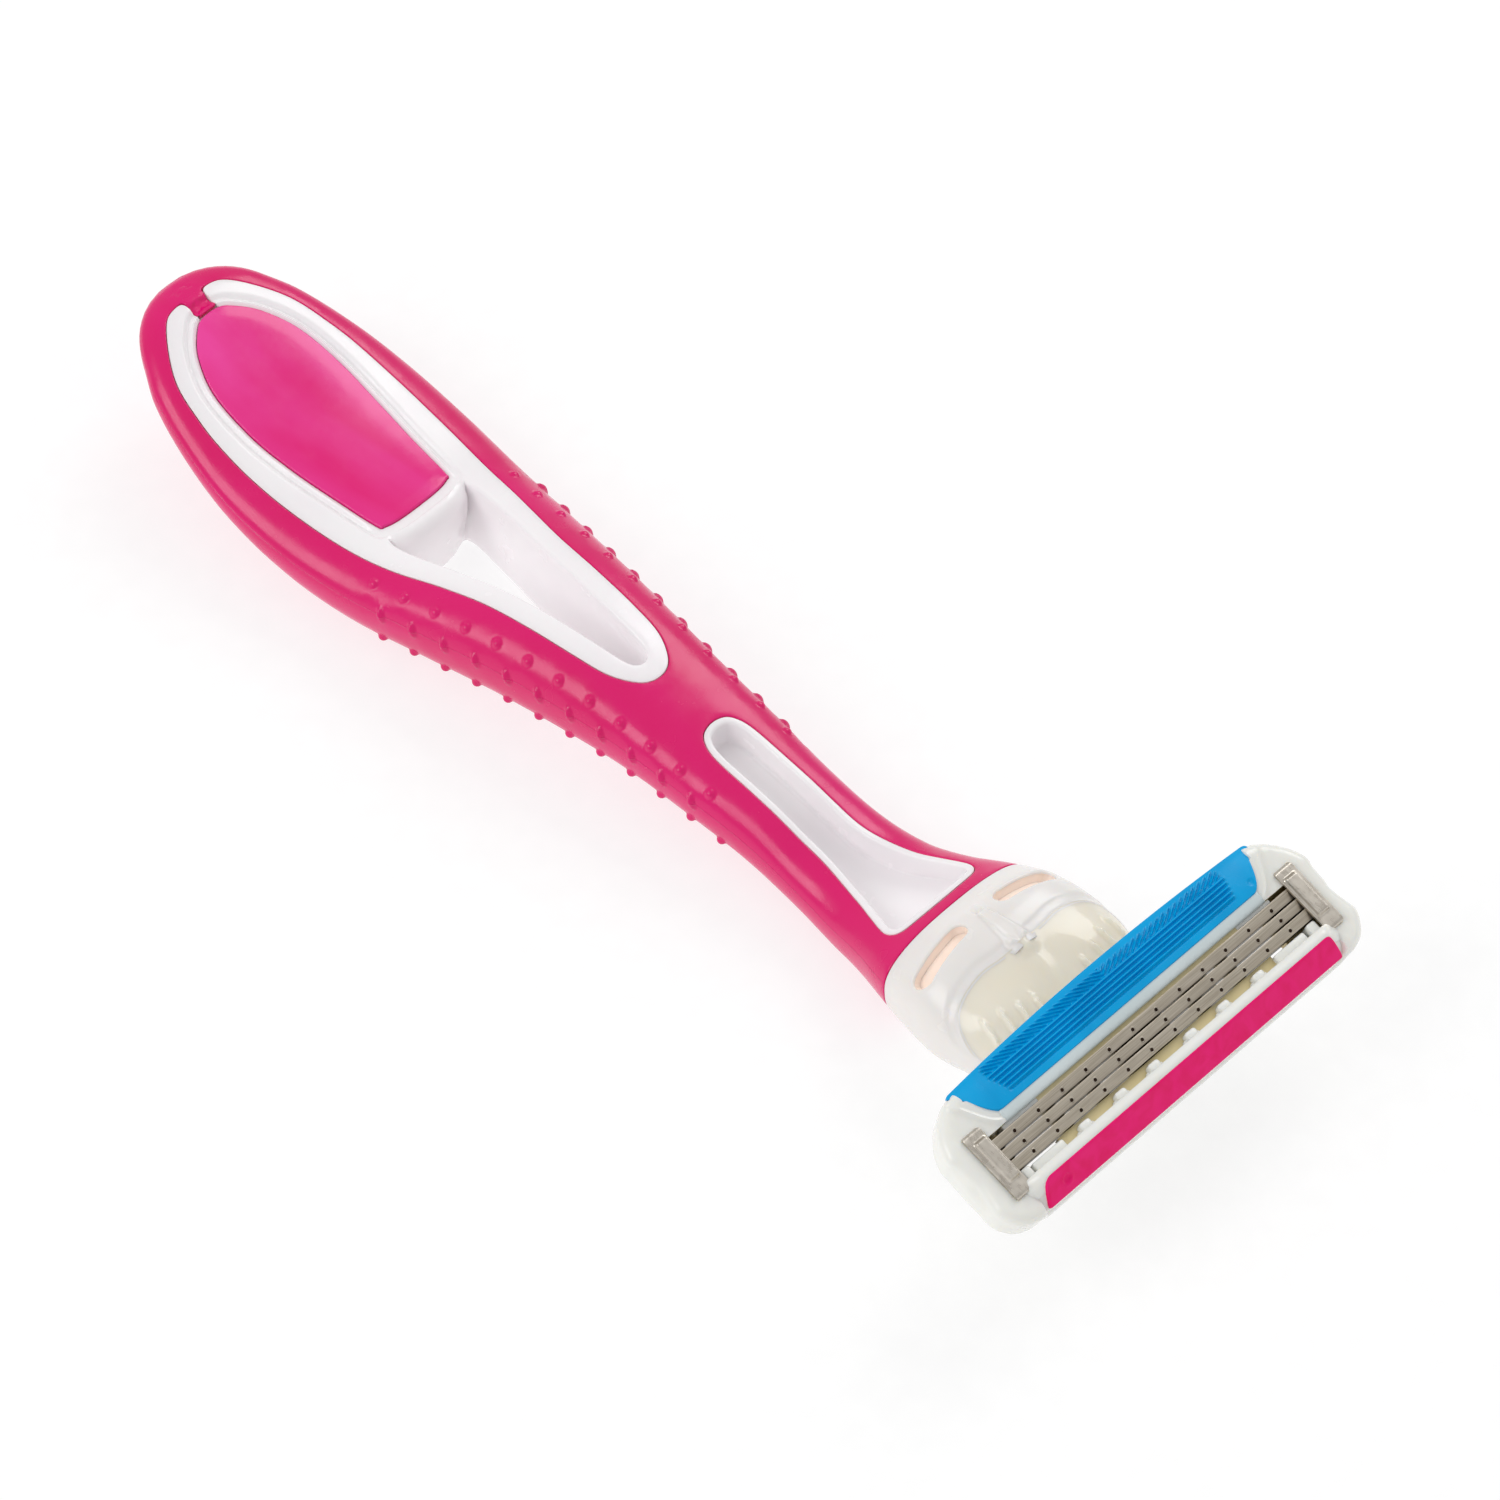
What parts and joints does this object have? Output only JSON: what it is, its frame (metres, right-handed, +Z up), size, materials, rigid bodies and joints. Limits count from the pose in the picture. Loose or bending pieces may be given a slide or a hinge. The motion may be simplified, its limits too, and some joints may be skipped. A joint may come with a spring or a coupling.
{
  "type": "cartridge razor",
  "caption": "Wet razor: curved soft-skinned handle with a finger window, and a sprung pivoting cartridge with blades between a finned guard and a lubricating strip.",
  "frame": {"origin": "centre of the bounding box's underside, on the surface that the razor rests on", "axes": "+Y runs along the handle from its tail to the cartridge, +Z is up with the shaving face upwards, and X runs along the blades"},
  "size_m": [0.0446, 0.127, 0.0163],
  "materials": {
    "white_core": "satin moulded white",
    "soft_grip": "satin pink elastomer",
    "palm_pad": "satin pink elastomer",
    "neck_shell": "translucent natural white, semi-gloss",
    "housing": "translucent natural white, semi-gloss",
    "guard": "blue elastomer with fins",
    "strip": "matte pink water-soluble strip",
    "blade_steel": "fine ground steel",
    "clip_metal": "satin aluminium",
    "pin_steel": "turned steel",
    "plunger": "plain moulded acetal",
    "spring_steel": "spring wire"
  },
  "bodies": {
    "handle": {"handle_core": "white_core", "grip_overmould": "soft_grip", "palm_pad": "palm_pad", "neck_shell": "neck_shell", "return_spring": "spring_steel"},
    "plunger": {"return_plunger": "plunger"},
    "cartridge": {"cartridge_housing": "housing", "guard_strip": "guard", "lubricating_strip": "strip", "clip_left": "clip_metal", "clip_right": "clip_metal", "pivot_pin_left": "pin_steel", "pivot_pin_right": "pin_steel"},
    "blade_unit_1": {"blade_1": "blade_steel", "blade_support_1": "blade_steel"},
    "blade_unit_2": {"blade_2": "blade_steel", "blade_support_2": "blade_steel"},
    "blade_unit_3": {"blade_3": "blade_steel", "blade_support_3": "blade_steel"}
  },
  "joints": [
    {"name": "head_pivot", "type": "hinge", "parent": "handle", "child": "cartridge", "pos_m": [0, 0.05533, 0.00862], "axis": [-1, 0, 0], "range_deg": [0, 40], "stiffness_Nm_per_rad": 0.01, "springref_deg": -28.65, "deforming": ["return_spring"]},
    {"name": "plunger_slide", "type": "slide", "parent": "handle", "child": "plunger", "axis": [0, -1, 0], "range_m": [0, 0.0022]},
    {"name": "blade_float_1", "type": "slide", "parent": "cartridge", "child": "blade_unit_1", "axis": [0, -0.3156, -0.9489], "range_m": [0, 0.0003], "stiffness_N_per_m": 800, "springref_m": -0.0003},
    {"name": "blade_float_2", "type": "slide", "parent": "cartridge", "child": "blade_unit_2", "axis": [0, -0.3156, -0.9489], "range_m": [0, 0.0003], "stiffness_N_per_m": 800, "springref_m": -0.0003},
    {"name": "blade_float_3", "type": "slide", "parent": "cartridge", "child": "blade_unit_3", "axis": [0, -0.3156, -0.9489], "range_m": [0, 0.0003], "stiffness_N_per_m": 800, "springref_m": -0.0003}
  ],
  "couplings": [
    {"joint": "plunger_slide", "follows": "head_pivot", "m_per_rad": 0.003135}
  ]
}
